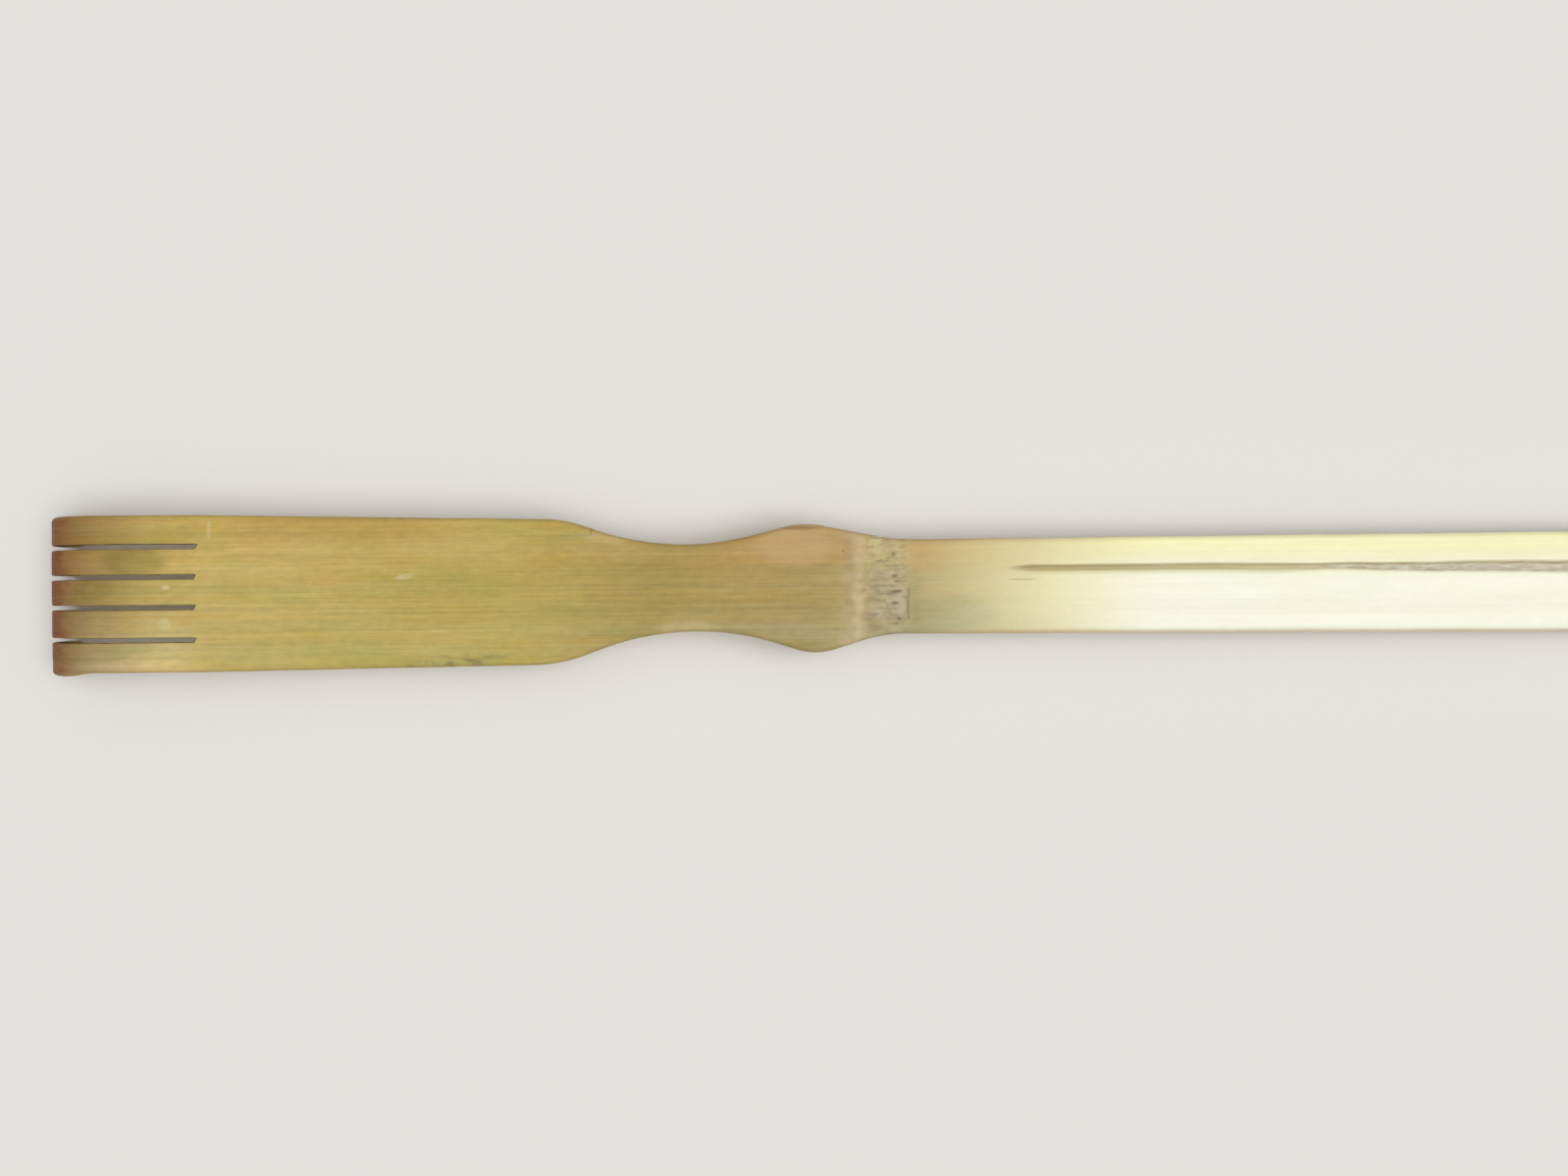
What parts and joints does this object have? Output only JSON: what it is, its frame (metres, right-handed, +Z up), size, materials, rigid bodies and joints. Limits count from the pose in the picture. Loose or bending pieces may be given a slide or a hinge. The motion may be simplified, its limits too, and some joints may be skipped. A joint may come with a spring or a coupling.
{
  "type": "back scratcher",
  "caption": "Bamboo back scratcher: a split strip with a sawn, bent claw of springy fingers, a waisted neck, the stem's own node and a long handle with a hanging hole.",
  "frame": {"origin": "on the surface that it lies on, below the middle of its length and width, with the fingertips and the butt resting on that surface", "axes": "+X from the claw to the butt, +Y to the left edge as seen from the butt's end with the skin side up, +Z up, out of the skin side"},
  "size_m": [0.4301, 0.0302, 0.0178],
  "materials": {
    "toasted_bamboo": "scraped and bent over heat, brown at the bend, satin",
    "scraped_bamboo": "scraped lengthwise to the fibres, matte",
    "node_bamboo": "wrinkled band of the stem's node, matte",
    "rind_bamboo": "natural waxy rind, glossy"
  },
  "bodies": {
    "strip": {"palm": "scraped_bamboo", "neck": "scraped_bamboo", "culm_node": "node_bamboo", "handle": "rind_bamboo", "butt": "rind_bamboo"},
    "finger_1": {"finger_1": "toasted_bamboo"},
    "finger_2": {"finger_2": "toasted_bamboo"},
    "finger_3": {"finger_3": "toasted_bamboo"},
    "finger_4": {"finger_4": "toasted_bamboo"},
    "finger_5": {"finger_5": "toasted_bamboo"}
  },
  "joints": [
    {"name": "finger_1_flex", "type": "hinge", "parent": "strip", "child": "finger_1", "pos_m": [-0.18336, 0.01229, 0.01494], "axis": [0, 1, 0], "range_deg": [-3, 3], "stiffness_Nm_per_rad": 12},
    {"name": "finger_2_flex", "type": "hinge", "parent": "strip", "child": "finger_2", "pos_m": [-0.18335, 0.00611, 0.01532], "axis": [0, 1, 0], "range_deg": [-3, 3], "stiffness_Nm_per_rad": 12},
    {"name": "finger_3_flex", "type": "hinge", "parent": "strip", "child": "finger_3", "pos_m": [-0.18335, 0.0003, 0.01544], "axis": [0, 1, 0], "range_deg": [-3, 3], "stiffness_Nm_per_rad": 12},
    {"name": "finger_4_flex", "type": "hinge", "parent": "strip", "child": "finger_4", "pos_m": [-0.18335, -0.00574, 0.01533], "axis": [0, 1, 0], "range_deg": [-3, 3], "stiffness_Nm_per_rad": 12},
    {"name": "finger_5_flex", "type": "hinge", "parent": "strip", "child": "finger_5", "pos_m": [-0.18336, -0.01222, 0.01495], "axis": [0, 1, 0], "range_deg": [-3, 3], "stiffness_Nm_per_rad": 12}
  ]
}
